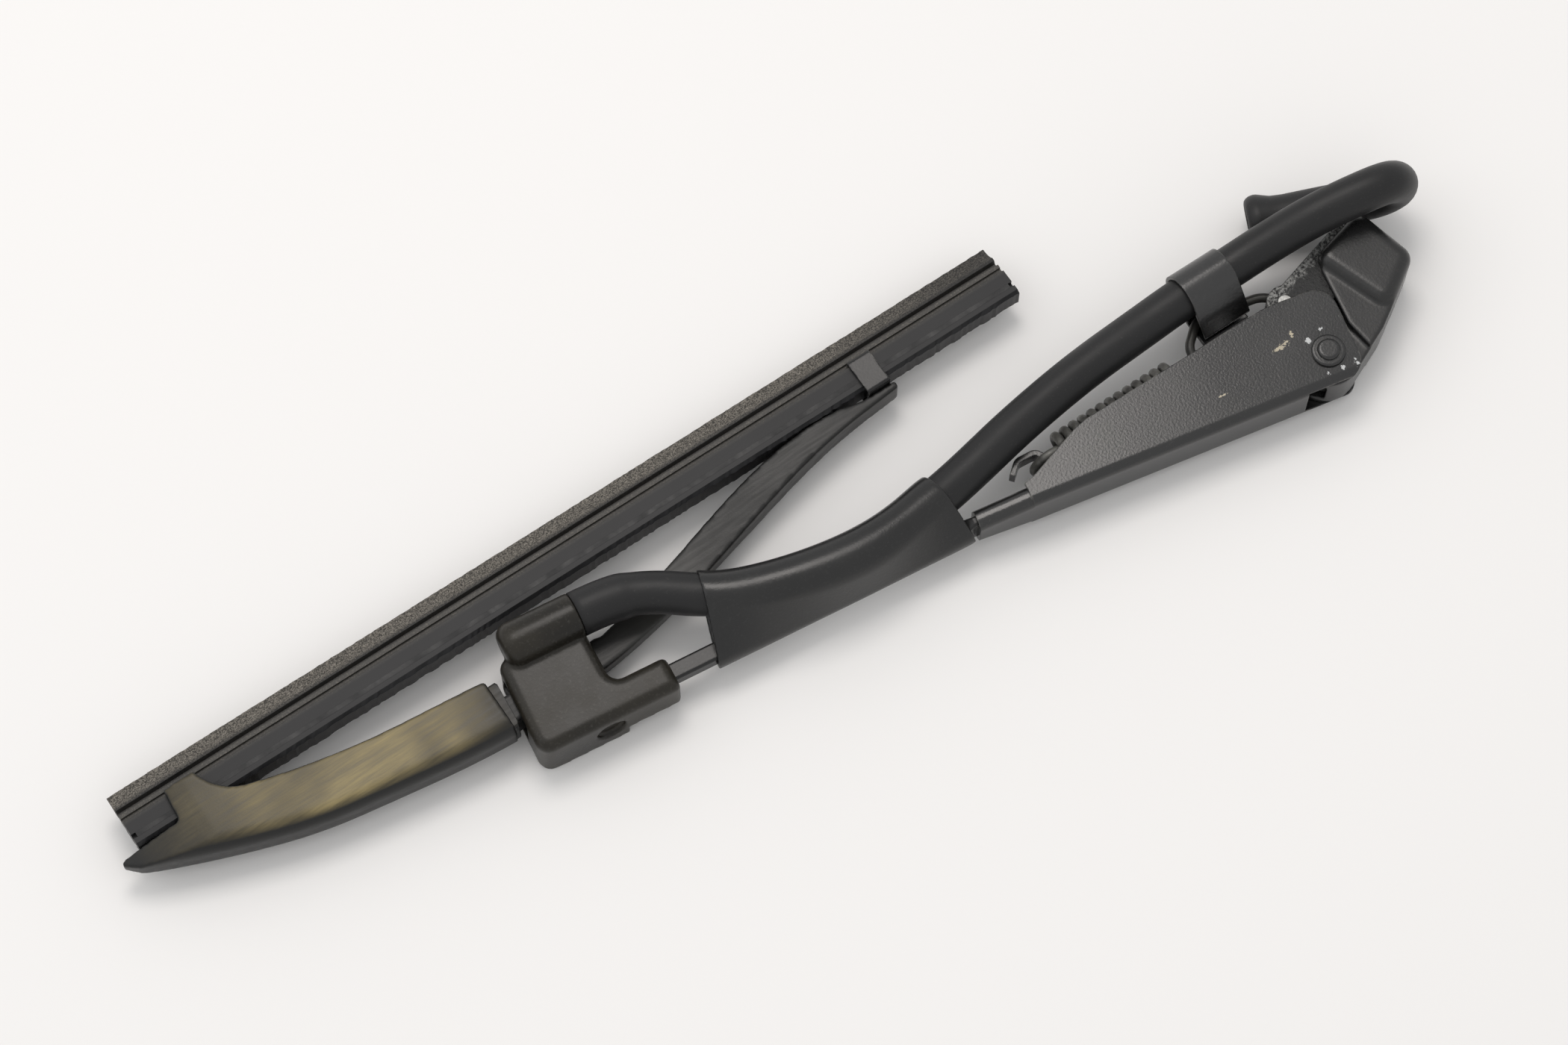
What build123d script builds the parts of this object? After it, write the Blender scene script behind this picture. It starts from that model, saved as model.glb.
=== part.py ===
from build123d import *
import math
import os

os.makedirs("parts", exist_ok=True)

# Wiper arm for a small lamp or window: head, sprung channel, rod, blade and washer hose.
# Lengths in millimetres, angles in degrees. The origin is the mouth of the spindle bore,
# +X runs along the channel from the blade to the head, +Y points to the glass,
# and +Z is the hinge axis, with z = 0 the mid-plane of the arm.

# Head
FREE_FOLD = 26.4            # how far the arm folds towards the glass when it is off the car
SPINDLE_REACH = 17.5        # rivet to spindle axis, along the head
SEAT_HEIGHT = 17.0          # rivet to the seat face of the spindle bore
SPINDLE_RADIUS = 3.0
NUT_FACE = 6.6              # height of the nut's seat above the rivet
HUB_RADIUS = 5.6
HUB_HALF = 2.7              # half thickness of the hub
BODY_HALF = 4.5             # half thickness of the head outside the hub
BODY_END = 25.6             # far end of the head's body from the rivet
HUB_ZONE = 10.2             # radius within which the cover's ears turn
HOOK_PIVOT = (3.7, 14.0)    # hook pin in the head's frame
LUG_RADIUS = 3.9
HOOK_PIN_RADIUS = 1.5

# Hinge rivet
RIVET_RADIUS = 2.5
RIVET_HEAD_RADIUS = 3.6
RIVET_HEAD = 0.8
RIVET_DOME_RADIUS = 2.4
RIVET_DOME = 0.8

# Fits
RUNNING = 0.06              # radial play of turning joints
GAP = 0.3                   # room between bodies that move past each other
SEATED = 0.02               # play of pieces that are fixed together

# Channel
SHEET = 1.2
CHANNEL_HALF = 6.0          # half width over the flanges
WEB_FACE = -7.0             # outer face of the web, measured from the rivet
WEB_END = -7.5
NECK_START = -82.0
NECK_END = -66.0
NECK_FACE = -2.4
NECK_NOSE = 4.3             # half width of the neck where the rod leaves it
FOLD_RADIUS = 2.0
EAR_END = 6.5
EAR_TOP = 14.0
FLANGE_KNEE = (-54.0, 5.8)

# Nut cover
COVER_WALL = 1.3
COVER_HALF = 7.6            # half height of the box over the nut
COVER_NECK_HALF = 5.8
COVER_END = 29.7
COVER_RIM = 15.6
COVER_STEP = 14.8
SKIRT_RADIUS = 7.1

# Rod
ROD_DEPTH = 3.8
ROD_HEIGHT = 3.6
ROD_CORNER = 0.6
ROD_BEND = 4.5              # the rod leans away from the glass
PADDLE_DEPTH = 2.2
PADDLE_HEIGHT = 7.0
PADDLE_END = -82.6
TAPER_END = -87.0
SOCKET_MOUTH = (-152.0, -9.9)
SOCKET_DEPTH = 14.0

# Spring and hook
ANCHOR = (-63.2, 2.4)       # where the spring's loop hangs on the tongue
SPRING_WIRE = 2.1
SPRING_OUTER = 9.2
SPRING_PITCH = 2.3
SPRING_TURNS = 13
HOOK_WIRE = 2.0
TONGUE_WIDTH = 3.4
TONGUE_SHEET = 1.2

# Hose, sleeve and clip
HOSE_OUTER = 9.0
HOSE_BORE = 4.6
FLARE_OUTER = 11.4
FLARE_BORE = 7.2
FLARE_LENGTH = 7.0
SLEEVE_WALL = 0.8
CLIP_SHEET = 0.8
CLIP_LENGTH = 11.5
CLIP_RUN = 13               # the run of the hose's route that the clip holds
CLIP_LIP = 9.2              # how far the lips reach below the hose's axis
LIP_ROOT = 3.4              # where the lips leave the strap

# Adapter
ADAPTER_LEFT = -31.7
ADAPTER_RIGHT = -12.0
ADAPTER_FRONT = -4.7
ADAPTER_BACK = 17.6
ADAPTER_TOP = 5.5
ADAPTER_BOTTOM = -7.5
BOSS_CENTRE = (18.8, 5.4)   # across and height
BOSS_RADIUS = 4.9
SOCKET_WALL_BACK = 1.0
SOCKET_BOTTOM = -4.2
NOTCH_RADIUS = 2.6
BLADE_PIN = (-21.4, 9.4)
BLADE_PIN_RADIUS = 2.0
SPIGOT_LENGTH = 12.0
WATER_BORE = 2.2
JET_BORE = 1.2

# Blade, measured from its pin
BLADE_TILT = 11.0
YOKE_HALF = 5.0
YOKE_WALL = 1.3
YOKE_CHEEK = 2.0
YOKE_BACK_RADIUS = 3.2      # rounding along the bow's back
YOKE_END = -12.8
YOKE_TIP = -93.2
CLAW_GRIP = (-79.0, -71.4)  # where the bow's own claw holds the rubber
LEVER_END = 94.0
NECK_TOP = 2.6
LEVER_TOP = -0.9            # top of the lever under the hose
LEVER_RISE = 2.5            # top of the lever at the claw
LEVER_FOOT = 3.6            # underside of the lever at the claw
RUBBER_LEFT = -88.5
RUBBER_RIGHT = 127.0
RUBBER_BACK = 17.0
RUBBER_HALF = 3.0
STRIP_DEPTH = 1.0
STRIP_WIDTH = 1.3
CLAW_SHEET = 0.7
CLAW_START = 87.6
CLAW_LENGTH = 5.4

# Frames of the head, the arm, the adapter and the blade
fold = math.radians(FREE_FOLD)
pivot_x = SEAT_HEIGHT * math.sin(fold) - SPINDLE_REACH * math.cos(fold)
pivot_y = -SPINDLE_REACH * math.sin(fold) - SEAT_HEIGHT * math.cos(fold)
arm = Plane((pivot_x, pivot_y, 0), x_dir=(1, 0, 0), z_dir=(0, 0, 1))


def turned(origin, degrees):
    """A plane parallel to the arm's, with its x axis turned about z."""
    angle = math.radians(degrees)
    return Plane(origin, x_dir=(math.cos(angle), math.sin(angle), 0), z_dir=(0, 0, 1))


head = turned(arm.origin, FREE_FOLD)
adapter = turned(arm.from_local_coords((*SOCKET_MOUTH, 0)), ROD_BEND)
blade = turned(adapter.from_local_coords((*BLADE_PIN, 0)), BLADE_TILT)


def across(frame, along, offset=0.0):
    """A section plane square to a frame's x axis: local x is the frame's y, local y is z."""
    origin = frame.from_local_coords((along, offset, 0))
    return Plane(origin, x_dir=frame.y_dir, z_dir=frame.x_dir)


def along_y(frame, x, y):
    """A plane square to a frame's y axis, facing along +y."""
    return Plane(frame.from_local_coords((x, y, 0)), x_dir=frame.z_dir, z_dir=frame.y_dir)


hook_x, hook_y, hook_z = arm.to_local_coords(head.from_local_coords((*HOOK_PIVOT, 0)))
web_inside = WEB_FACE + SHEET
channel_inside = CHANNEL_HALF - SHEET
paddle_centre = web_inside + PADDLE_DEPTH / 2

# Arm head: cast hub, seat with the spindle bore, and the lug for the hook
with BuildPart() as arm_head:
    with BuildSketch(head):
        Circle(HUB_RADIUS)
        with Locations(HOOK_PIVOT):
            Circle(LUG_RADIUS)
        make_hull()
        with BuildLine():
            Polyline((0, HUB_RADIUS - 1), (4, -3), (11, 3), (11, SEAT_HEIGHT - 3), close=True)
        make_face()
    extrude(amount=HUB_HALF, both=True)
    with BuildSketch(head):
        with BuildLine():
            FilletPolyline(
                (6.5, NUT_FACE),
                (BODY_END, NUT_FACE),
                (BODY_END, SEAT_HEIGHT),
                (5.2, SEAT_HEIGHT),
                (1.0, SEAT_HEIGHT - 6.5),
                radius=1.4,
                close=True,
            )
        make_face()
        with Locations(HOOK_PIVOT):
            Circle(LUG_RADIUS)
        Circle(HUB_ZONE + GAP, mode=Mode.SUBTRACT)
    extrude(amount=BODY_HALF, both=True)
    # Slot for the hook's eye, hook pin hole, rivet hole and spindle bore
    with BuildSketch(head):
        with Locations(HOOK_PIVOT):
            Circle(HOOK_PIN_RADIUS + 2 * HOOK_WIRE * 0.6 + 2 * GAP)
    extrude(amount=HOOK_WIRE / 2 + GAP, both=True, mode=Mode.SUBTRACT)
    with BuildSketch(head):
        with Locations(HOOK_PIVOT):
            Circle(HOOK_PIN_RADIUS + SEATED)
        Circle(RIVET_RADIUS + RUNNING)
    extrude(amount=2 * BODY_HALF, both=True, mode=Mode.SUBTRACT)
    with BuildSketch(along_y(head, SPINDLE_REACH, SEAT_HEIGHT)):
        Circle(SPINDLE_RADIUS)
    extrude(amount=-2 * SEAT_HEIGHT, mode=Mode.SUBTRACT)

arm_head.part.label = "arm_head"
export_step(arm_head.part, "parts/arm_head.step")

# Pin that the hook turns on, set in the two cheeks of the lug
with BuildPart() as hook_pin:
    with BuildSketch(head):
        with Locations(HOOK_PIVOT):
            Circle(HOOK_PIN_RADIUS)
    extrude(amount=BODY_HALF - SEATED, both=True)

hook_pin.part.label = "hook_pin"
export_step(hook_pin.part, "parts/hook_pin.step")

# Hinge rivet with two rounded heads
with BuildPart() as hinge_rivet:
    with BuildSketch(arm):
        Circle(RIVET_RADIUS)
    extrude(amount=CHANNEL_HALF + RIVET_HEAD / 2, both=True)
    for side in (1, -1):
        with BuildSketch(arm.offset(side * (CHANNEL_HALF + SEATED))):
            Circle(RIVET_HEAD_RADIUS)
        extrude(amount=side * (RIVET_HEAD - SEATED))
    rims = hinge_rivet.faces().filter_by(Axis.Z).group_by(Axis.Z)
    fillet(rims[0].edges() + rims[-1].edges(), radius=0.6 * RIVET_HEAD)
    for side in (1, -1):
        with BuildSketch(arm.offset(side * (CHANNEL_HALF + RIVET_HEAD))):
            Circle(RIVET_DOME_RADIUS)
        extrude(amount=side * RIVET_DOME)
    domes = hinge_rivet.faces().filter_by(Axis.Z).group_by(Axis.Z)
    fillet(domes[0].edges() + domes[-1].edges(), radius=0.8 * RIVET_DOME)

hinge_rivet.part.label = "hinge_rivet"
export_step(hinge_rivet.part, "parts/hinge_rivet.step")

# Nut cover: moulded shell, open to the glass, with two ears on the rivet
outer_wall = [(2.2, -6.75), (12.2, -5.3), (29.1, -0.1)]
neck_edge = [(7.95, 0.6), (COVER_STEP - 0.75, 12.8)]
with BuildPart() as nut_cover:
    with BuildSketch(head):
        with BuildLine():
            FilletPolyline(
                (COVER_STEP + 0.6, -4.5),
                outer_wall[2],
                (COVER_END, COVER_RIM),
                (COVER_STEP - 0.5, COVER_RIM),
                radius=3.2,
                close=True,
            )
        make_face()
    extrude(amount=COVER_HALF, both=True)
    box_rims = nut_cover.faces().filter_by(Axis.Z).group_by(Axis.Z)
    fillet(box_rims[0].edges() + box_rims[-1].edges(), radius=2.6)
    with BuildSketch(head):
        Circle(SKIRT_RADIUS)
        with BuildLine():
            Polyline(outer_wall[0], (9.0, -5.8), (9.6, 3.2), (2.6, SKIRT_RADIUS - 0.5), close=True)
        make_face()
    extrude(amount=channel_inside - GAP, both=True)
    with BuildSketch(head):
        with BuildLine():
            Polyline(
                (6.8, -6.1),
                outer_wall[1],
                (COVER_STEP + 4, -3.3),
                (COVER_STEP + 4, 12.8),
                neck_edge[1],
                neck_edge[0],
                close=True,
            )
        make_face()
    extrude(amount=COVER_NECK_HALF, both=True)
    # Inside of the box, inside of the neck, and the gap between the ears
    with BuildSketch(head):
        with BuildLine():
            Polyline(
                (COVER_STEP + COVER_WALL + 0.6, -4.5 + 1.2 * COVER_WALL),
                (outer_wall[2][0] - COVER_WALL, outer_wall[2][1] + COVER_WALL),
                (COVER_END - COVER_WALL, COVER_RIM + 1),
                (COVER_STEP + COVER_WALL, COVER_RIM + 1),
                close=True,
            )
        make_face()
    extrude(amount=COVER_HALF - COVER_WALL, both=True, mode=Mode.SUBTRACT)
    with BuildSketch(head):
        with BuildLine():
            Polyline(
                (3.0, -6.6 + COVER_WALL),
                (12.2, -5.3 + COVER_WALL),
                (outer_wall[2][0] - COVER_WALL, outer_wall[2][1] + COVER_WALL),
                (COVER_END - COVER_WALL, COVER_RIM + 1),
                (3.0, COVER_RIM + 1),
                close=True,
            )
        make_face()
        Circle(HUB_ZONE, mode=Mode.SUBTRACT)
    extrude(amount=BODY_HALF + GAP, both=True, mode=Mode.SUBTRACT)
    with BuildSketch(head):
        Circle(SKIRT_RADIUS - COVER_WALL)
        with BuildLine():
            Polyline(
                (0, -SKIRT_RADIUS + COVER_WALL),
                (2.2, -6.75 + COVER_WALL),
                (12.2, -5.3 + COVER_WALL),
                (14.0, COVER_RIM + 1),
                (-20, COVER_RIM + 1),
                (-20, 0),
                close=True,
            )
        make_face()
    extrude(amount=HUB_HALF + 0.2, both=True, mode=Mode.SUBTRACT)
    with BuildSketch(head):
        Circle(RIVET_RADIUS + RUNNING)
    extrude(amount=COVER_HALF, both=True, mode=Mode.SUBTRACT)

nut_cover.part.label = "nut_cover"
export_step(nut_cover.part, "parts/nut_cover.step")

# Channel: pressed sheet with ears at the head, a crimped neck and a tongue for the spring
with BuildPart() as arm_channel:
    with BuildSketch(across(arm, NECK_END - 4)):
        with BuildLine():
            FilletPolyline(
                (EAR_TOP + 4, -CHANNEL_HALF),
                (WEB_FACE, -CHANNEL_HALF),
                (WEB_FACE, CHANNEL_HALF),
                (EAR_TOP + 4, CHANNEL_HALF),
                radius=FOLD_RADIUS,
            )
            Line((EAR_TOP + 4, CHANNEL_HALF), (EAR_TOP + 4, -CHANNEL_HALF))
        make_face()
        with BuildLine():
            FilletPolyline(
                (EAR_TOP + 4, -channel_inside),
                (web_inside, -channel_inside),
                (web_inside, channel_inside),
                (EAR_TOP + 4, channel_inside),
                radius=FOLD_RADIUS - SHEET,
            )
            Line((EAR_TOP + 4, channel_inside), (EAR_TOP + 4, -channel_inside))
        make_face(mode=Mode.SUBTRACT)
    extrude(amount=EAR_END - NECK_END + 8)
    with BuildSketch(arm):
        with BuildLine():
            FilletPolyline(
                (NECK_START, NECK_FACE),
                (NECK_END - 4, NECK_FACE),
                FLANGE_KNEE,
                (-8.0, EAR_TOP + 0.1),
                (EAR_END, EAR_TOP),
                (EAR_END - 0.8, WEB_FACE),
                (NECK_START, WEB_FACE),
                radius=[14, 18, 20, 5, 4.4],
            )
            Line((NECK_START, WEB_FACE), (NECK_START, NECK_FACE))
        make_face()
    extrude(amount=2 * CHANNEL_HALF, both=True, mode=Mode.INTERSECT)
    # The web stops short of the hub
    with BuildSketch(arm):
        with Locations((WEB_END, WEB_FACE - 1)):
            Rectangle(EAR_END - WEB_END + 4, EAR_TOP, align=(Align.MIN, Align.MIN))
    extrude(amount=channel_inside, both=True, mode=Mode.SUBTRACT)
    # Crimped neck round the flattened end of the rod
    for along, half in ((NECK_START, NECK_NOSE), (NECK_END, CHANNEL_HALF)):
        with BuildSketch(across(arm, along)):
            with Locations(((WEB_FACE + NECK_FACE) / 2, 0)):
                RectangleRounded(NECK_FACE - WEB_FACE, 2 * half, FOLD_RADIUS)
    loft()
    with BuildSketch(across(arm, NECK_START)):
        with Locations((paddle_centre, 0)):
            Rectangle(PADDLE_DEPTH + 2 * SEATED, PADDLE_HEIGHT + 2 * SEATED)
    extrude(amount=NECK_END - NECK_START, mode=Mode.SUBTRACT)
    # Tongue that the spring's loop hangs on
    with BuildSketch(arm):
        with BuildLine():
            FilletPolyline(
                (NECK_END - 0.8, NECK_FACE - SHEET / 2),
                (ANCHOR[0] - 0.1, ANCHOR[1] - 3.2),
                (ANCHOR[0] - 0.1, ANCHOR[1] + 2.7),
                (ANCHOR[0] - 5.4, ANCHOR[1] + 2.2),
                (ANCHOR[0] - 7.6, ANCHOR[1] - 0.4),
                radius=[1.4, 1.8, 2.0],
            )
        trace(line_width=TONGUE_SHEET)
    extrude(amount=TONGUE_WIDTH / 2, both=True)
    with BuildSketch(arm):
        Circle(RIVET_RADIUS + SEATED)
    extrude(amount=2 * CHANNEL_HALF, both=True, mode=Mode.SUBTRACT)

arm_channel.part.label = "arm_channel"
export_step(arm_channel.part, "parts/arm_channel.step")

# Rod: bar from the adapter's socket, flattened to a paddle inside the channel's neck
with BuildPart() as arm_rod:
    taper_u = adapter.to_local_coords(arm.from_local_coords((TAPER_END, 0, 0))).X
    with BuildSketch(across(adapter, -SOCKET_DEPTH)):
        RectangleRounded(ROD_DEPTH, ROD_HEIGHT, ROD_CORNER)
    extrude(amount=SOCKET_DEPTH + taper_u)
    with BuildSketch(across(adapter, taper_u)):
        RectangleRounded(ROD_DEPTH, ROD_HEIGHT, ROD_CORNER)
    with BuildSketch(across(arm, PADDLE_END, paddle_centre)):
        RectangleRounded(PADDLE_DEPTH, PADDLE_HEIGHT, ROD_CORNER)
    loft()
    with BuildSketch(across(arm, PADDLE_END, paddle_centre)):
        RectangleRounded(PADDLE_DEPTH, PADDLE_HEIGHT, ROD_CORNER)
    extrude(amount=NECK_END - PADDLE_END + 2)

arm_rod.part.label = "arm_rod"
export_step(arm_rod.part, "parts/arm_rod.step")

# Tension spring: close-wound coils between two loops, one on the tongue and one on the hook
spring_angle = math.degrees(math.atan2(hook_y - ANCHOR[1], hook_x - ANCHOR[0]))
spring = turned(arm.from_local_coords((*ANCHOR, 0)), spring_angle)
coil_radius = (SPRING_OUTER - SPRING_WIRE) / 2
loop_inside = coil_radius - SPRING_WIRE / 2
loop_chord = math.sqrt(loop_inside**2 - (TONGUE_WIDTH / 2) ** 2)
first_loop = loop_chord - TONGUE_SHEET / 2 - GAP
coil_start = first_loop + coil_radius
coil_length = SPRING_TURNS * SPRING_PITCH
second_loop = coil_start + coil_length + coil_radius
hook_grip = second_loop + loop_inside - HOOK_WIRE / 2 - SEATED
with BuildPart() as tension_spring:
    with BuildLine():
        coil_path = Helix(
            SPRING_PITCH,
            coil_length,
            coil_radius,
            center=spring.from_local_coords((coil_start, 0, 0)),
            direction=spring.x_dir,
        )
    with BuildSketch(Plane(coil_path @ 0, z_dir=coil_path % 0)):
        RegularPolygon(SPRING_WIRE / 2, 6)
    sweep(path=coil_path, is_frenet=True)
    for centre in (first_loop, second_loop):
        middle = spring.from_local_coords((centre, 0, 0))
        with BuildSketch(Plane(middle, x_dir=spring.x_dir, z_dir=spring.z_dir)):
            with Locations((coil_radius, 0)):
                RegularPolygon(SPRING_WIRE / 2, 6)
        revolve(axis=Axis(middle, spring.y_dir))

tension_spring.part.label = "tension_spring"
export_step(tension_spring.part, "parts/tension_spring.step")

# Hook: a C of wire from the spring's loop, over the hub, to an eye on the hook pin
eye_radius = HOOK_PIN_RADIUS + 0.15 + HOOK_WIRE / 2
grip = arm.to_local_coords(spring.from_local_coords((hook_grip, 0, 0)))
with BuildPart() as spring_hook:
    crown = (-6.5, 18.9)
    rise = math.atan2(crown[1] - hook_y, crown[0] - hook_x)
    reach = math.hypot(crown[1] - hook_y, crown[0] - hook_x)
    touch = rise - math.acos(eye_radius / reach)

    def on_eye(angle):
        return (hook_x + eye_radius * math.cos(angle), hook_y + eye_radius * math.sin(angle))

    with BuildLine(arm):
        hook_path = FilletPolyline(
            (grip.X - 1.4, grip.Y - 3.6),
            (grip.X, grip.Y + 0.6),
            (grip.X - 0.4, grip.Y + 4.0),
            (-20.6, 19.3),
            crown,
            on_eye(touch),
            radius=[3.0, 4.0, 4.0, 6.0],
        )
        ThreePointArc(on_eye(touch), on_eye(touch - 2.2), on_eye(touch - 4.4))
    with BuildSketch(Plane(hook_path @ 0, z_dir=hook_path % 0)):
        Circle(HOOK_WIRE / 2)
    sweep()

spring_hook.part.label = "spring_hook"
export_step(spring_hook.part, "parts/spring_hook.step")

# Washer hose: straight runs joined by tangent arcs, measured from the rivet
HOSE_ROUTE = [
    (-165.4, 7.9, 5.4),
    (-157.0, 8.6, 5.4),
    (-148.6, 6.1, 5.5),
    (-140.4, 1.5, 5.8),
    (-130.5, -1.9, 6.4),
    (-117.5, -3.3, 6.7),
    (-104.0, -2.5, 6.2),
    (-93.0, 0.6, 5.2),
    (-87.0, 2.6, 4.6),
    (-79.0, 5.6, 4.4),
    (-66.0, 10.9, 4.7),
    (-49.0, 16.8, 4.3),
    (-33.0, 20.8, 4.3),
    (-24.0, 22.9, 5.0),
    (-10.5, 25.5, 5.5),
    (-0.5, 26.6, 8.6),
    (9.0, 27.0, 12.0),
    (17.5, 27.0, 13.8),
    (25.3, 27.2, 13.9),
    (29.3, 27.8, 9.9),
    (29.3, 28.7, 4.1),
    (25.3, 30.1, 0.2),
    (14.4, 32.4, 0.6),
    (-0.6, 36.0, -1.8),
]
hose_points = [arm.from_local_coords(point) for point in HOSE_ROUTE]


def bend_radii(points):
    """The radius at each inner point, as large as the two runs beside it allow."""
    radii = []
    for before, corner, after in zip(points, points[1:], points[2:]):
        run = min((corner - before).length, (after - corner).length)
        half_turn = math.radians((corner - before).get_angle(after - corner)) / 2
        radii.append(0.45 * run / math.tan(half_turn))
    return radii


hose_radii = bend_radii(hose_points)
print("hose radii", [round(radius, 1) for radius in hose_radii])
hose_end = hose_points[-1]
hose_out = (hose_points[-1] - hose_points[-2]).normalized()
flare_plane = Plane(hose_end - hose_out * FLARE_LENGTH, z_dir=hose_out)

with BuildPart() as hose_body:
    with BuildLine():
        hose_path = FilletPolyline(*hose_points, radius=hose_radii)
    with BuildSketch(Plane(hose_path @ 0, z_dir=hose_path % 0)):
        Circle(HOSE_OUTER / 2)
    sweep()
    with BuildSketch(flare_plane):
        Circle(HOSE_OUTER / 2)
    with BuildSketch(flare_plane.offset(FLARE_LENGTH * 0.7)):
        Circle(FLARE_OUTER / 2)
    with BuildSketch(flare_plane.offset(FLARE_LENGTH)):
        Circle(FLARE_OUTER / 2)
    loft(ruled=True)

with BuildPart() as washer_hose:
    add(hose_body.part)
    with BuildLine():
        FilletPolyline(*hose_points, radius=hose_radii)
    with BuildSketch(Plane(hose_path @ 0, z_dir=hose_path % 0)):
        Circle(HOSE_BORE / 2)
    sweep(mode=Mode.SUBTRACT)
    with BuildSketch(flare_plane):
        Circle(FLARE_BORE / 2)
    extrude(amount=FLARE_LENGTH, mode=Mode.SUBTRACT)

hose_section = math.pi * (HOSE_OUTER**2 - HOSE_BORE**2) / 4
print("hose length", round(hose_path.length, 1), "volume", round(washer_hose.part.volume),
      "section times length", round(hose_section * hose_path.length))
washer_hose.part.label = "washer_hose"
export_step(washer_hose.part, "parts/washer_hose.step")

# Sleeve shrunk over the rod and the hose: lofted skins round both
rod_direction = adapter.x_dir


def bound_sections(grow):
    """Sections of the sleeve through points of the hose, each turned to face along it."""
    sections = []
    for index, yaw in ((3, -9.0), (4, -5.0), (5, 0.0), (6, 4.0), (7, 11.0), (8, 20.0)):
        point = hose_points[index]
        section = across(turned((point.X, point.Y, 0), yaw), 0)
        to_rod = adapter.origin - section.origin
        cross = section.x_dir.X * rod_direction.Y - section.x_dir.Y * rod_direction.X
        rod_offset = (to_rod.X * rod_direction.Y - to_rod.Y * rod_direction.X) / cross
        rod_girth = math.hypot(ROD_DEPTH - ROD_CORNER, ROD_HEIGHT - ROD_CORNER) / 2 + ROD_CORNER / 2
        with BuildSketch(section) as outline:
            with Locations((0, point.Z)):
                Circle(HOSE_OUTER / 2 + grow)
            with Locations((rod_offset, 0)):
                Circle(rod_girth + grow)
            make_hull()
        sections.append(outline.sketch.faces()[0])
    return sections


with BuildPart() as binding_sleeve:
    loft(bound_sections(SLEEVE_WALL + 4 * SEATED))
    loft(bound_sections(4 * SEATED), mode=Mode.SUBTRACT)
    add(hose_body.part, mode=Mode.SUBTRACT)
    add(arm_rod.part, mode=Mode.SUBTRACT)

binding_sleeve.part.label = "binding_sleeve"
export_step(binding_sleeve.part, "parts/binding_sleeve.step")

# Hose clip: a strap round the hose whose two lips straddle the hook
clip_run = (hose_points[CLIP_RUN], hose_points[CLIP_RUN + 1])
clip_middle = (clip_run[0] + clip_run[1]) / 2
clip_angle = math.degrees(math.atan2(clip_run[1].Y - clip_run[0].Y, clip_run[1].X - clip_run[0].X))
clip = turned(clip_middle, clip_angle)
lip_level = -clip_middle.Z
lip_inside = HOOK_WIRE / 2 + GAP


def strap_section(start, length, radius, lip_half, lip_end):
    """A face round the hose and the lips, at a place along the clip."""
    with BuildSketch(across(clip, start)) as outline:
        Circle(radius)
        with Locations((lip_end, lip_level)):
            Rectangle(-lip_end - LIP_ROOT, 2 * lip_half, align=(Align.MIN, Align.CENTER))
        make_hull()
    return extrude(outline.sketch, amount=length, mode=Mode.PRIVATE)


with BuildPart() as hose_clip:
    hose_radius = HOSE_OUTER / 2 + SEATED
    add(strap_section(
        -CLIP_LENGTH / 2, CLIP_LENGTH, hose_radius + CLIP_SHEET, lip_inside + CLIP_SHEET, -CLIP_LIP
    ))
    add(strap_section(
        -CLIP_LENGTH, 2 * CLIP_LENGTH, hose_radius, lip_inside, -CLIP_LIP - SEATED
    ), mode=Mode.SUBTRACT)
    add(hose_body.part, mode=Mode.SUBTRACT)

hose_clip.part.label = "hose_clip"
export_step(hose_clip.part, "parts/hose_clip.step")

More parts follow.
